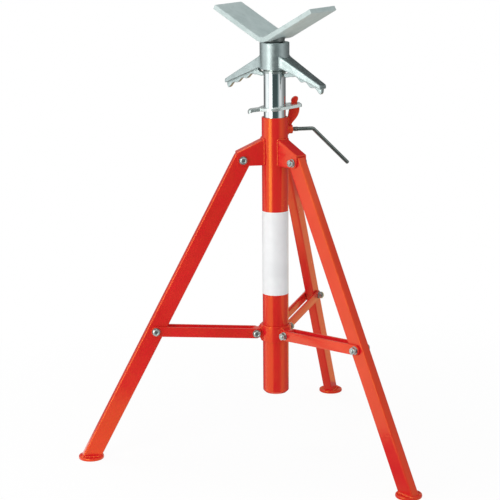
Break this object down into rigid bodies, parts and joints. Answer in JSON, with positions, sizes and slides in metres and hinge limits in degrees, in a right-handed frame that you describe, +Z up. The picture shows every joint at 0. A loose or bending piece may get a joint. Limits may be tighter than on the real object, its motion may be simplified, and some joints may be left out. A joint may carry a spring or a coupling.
{
  "type": "pipe jack stand",
  "caption": "Folding tripod stand that holds a pipe in a V head: hinged legs braced to a sliding collar, a sliding mast with lock plate and clamp screw, and a wing nut for fine height.",
  "frame": {"origin": "middle of the whole part's box at floor level, under the feet", "axes": "+Z up along the mast, +Y towards the single rear leg, +X to the right of the picture's side"},
  "size_m": [0.6908, 0.6049, 0.874],
  "materials": {
    "red_paint": "glossy red paint",
    "zinc_fixing": "bright zinc plating",
    "zinc_plate": "satin grey-green zinc plating",
    "chrome": "polished",
    "cast_zinc": "zinc plated casting"
  },
  "bodies": {
    "stand": {"outer_tube": "red_paint", "leg_bracket_1": "red_paint", "leg_bracket_2": "red_paint", "leg_bracket_3": "red_paint", "bracket_bolt_1": "zinc_fixing", "bracket_bolt_2": "zinc_fixing", "bracket_bolt_3": "zinc_fixing", "latch_hook": "red_paint", "clamp_boss": "red_paint"},
    "collar": {"collar": "red_paint", "collar_bolt_1": "zinc_fixing", "collar_bolt_2": "zinc_fixing", "collar_bolt_3": "zinc_fixing"},
    "leg_1": {"leg_1": "red_paint", "foot_1": "red_paint", "brace_bolt_shank_1": "zinc_fixing"},
    "leg_2": {"leg_2": "red_paint", "foot_2": "red_paint", "brace_bolt_shank_2": "zinc_fixing"},
    "leg_3": {"leg_3": "red_paint", "foot_3": "red_paint", "brace_bolt_shank_3": "zinc_fixing"},
    "brace_1": {"brace_bar_1a": "red_paint", "brace_bar_1b": "red_paint", "brace_bolt_head_1": "zinc_fixing", "brace_bolt_nut_1": "zinc_fixing"},
    "brace_2": {"brace_bar_2a": "red_paint", "brace_bar_2b": "red_paint", "brace_bolt_head_2": "zinc_fixing", "brace_bolt_nut_2": "zinc_fixing"},
    "brace_3": {"brace_bar_3a": "red_paint", "brace_bar_3b": "red_paint", "brace_bolt_head_3": "zinc_fixing", "brace_bolt_nut_3": "zinc_fixing"},
    "lock_plate": {"lock_plate": "zinc_plate"},
    "clamp_stud": {"clamp_stud": "zinc_fixing"},
    "clamp_lever": {"clamp_lever": "zinc_fixing"},
    "mast": {"mast_tube": "chrome"},
    "thrust": {"thrust_washer": "zinc_fixing"},
    "wing_nut": {"wing_nut": "cast_zinc"},
    "head": {"head_screw": "zinc_fixing", "v_plate": "zinc_plate"}
  },
  "joints": [
    {"name": "collar_slide", "type": "slide", "parent": "stand", "child": "collar", "axis": [0, 0, 1], "range_m": [0, 0.16748]},
    {"name": "leg_fold_1", "type": "hinge", "parent": "stand", "child": "leg_1", "pos_m": [0, -0.02815, 0.5821], "axis": [-1, 0, 0], "range_deg": [0, 26.36]},
    {"name": "leg_fold_2", "type": "hinge", "parent": "stand", "child": "leg_2", "pos_m": [-0.05573, -0.12467, 0.5821], "axis": [0.5, -0.866, 0], "range_deg": [0, 26.36]},
    {"name": "leg_fold_3", "type": "hinge", "parent": "stand", "child": "leg_3", "pos_m": [0.05573, -0.12467, 0.5821], "axis": [0.5, 0.866, 0], "range_deg": [0, 26.36]},
    {"name": "brace_fold_1", "type": "hinge", "parent": "collar", "child": "brace_1", "pos_m": [0, -0.05175, 0.23735], "axis": [-1, 0, 0], "range_deg": [0, 84.63]},
    {"name": "brace_fold_2", "type": "hinge", "parent": "collar", "child": "brace_2", "pos_m": [-0.03529, -0.11288, 0.23735], "axis": [0.5, -0.866, 0], "range_deg": [0, 84.63]},
    {"name": "brace_fold_3", "type": "hinge", "parent": "collar", "child": "brace_3", "pos_m": [0.03529, -0.11288, 0.23735], "axis": [0.5, 0.866, 0], "range_deg": [0, 84.63]},
    {"name": "latch_tilt", "type": "hinge", "parent": "stand", "child": "lock_plate", "pos_m": [0.04128, -0.06867, 0.68153], "axis": [-0.5, 0.866, 0], "range_deg": [0, 6.5]},
    {"name": "clamp_advance", "type": "slide", "parent": "stand", "child": "clamp_stud", "axis": [0.866, 0.5, 0], "range_m": [0, 0.0006]},
    {"name": "clamp_turn", "type": "hinge", "parent": "clamp_stud", "child": "clamp_lever", "pos_m": [0.03074, -0.07475, 0.6375], "axis": [0.866, 0.5, 0], "range_deg": [0, 120]},
    {"name": "mast_slide", "type": "slide", "parent": "stand", "child": "mast", "axis": [0, 0, 1], "range_m": [-0.036, 0.415]},
    {"name": "head_swivel", "type": "hinge", "parent": "mast", "child": "thrust", "pos_m": [0, -0.0925, 0.7476], "axis": [0, 0, 1], "continuous": true},
    {"name": "nut_spin", "type": "hinge", "parent": "thrust", "child": "wing_nut", "pos_m": [0, -0.0925, 0.7542], "axis": [0, 0, 1], "range_deg": [0, 5400]},
    {"name": "head_lift", "type": "slide", "parent": "thrust", "child": "head", "axis": [0, 0, 1], "range_m": [0, 0.09526]}
  ],
  "couplings": [
    {"joint": "leg_fold_1", "follows": "collar_slide", "rad_per_m": 2.7472},
    {"joint": "leg_fold_2", "follows": "collar_slide", "rad_per_m": 2.7472},
    {"joint": "leg_fold_3", "follows": "collar_slide", "rad_per_m": 2.7472},
    {"joint": "brace_fold_1", "follows": "collar_slide", "rad_per_m": 8.8193},
    {"joint": "brace_fold_2", "follows": "collar_slide", "rad_per_m": 8.8193},
    {"joint": "brace_fold_3", "follows": "collar_slide", "rad_per_m": 8.8193},
    {"joint": "clamp_advance", "follows": "clamp_turn", "m_per_rad": 0.0002785},
    {"joint": "head_lift", "follows": "nut_spin", "m_per_rad": 0.0010106}
  ]
}
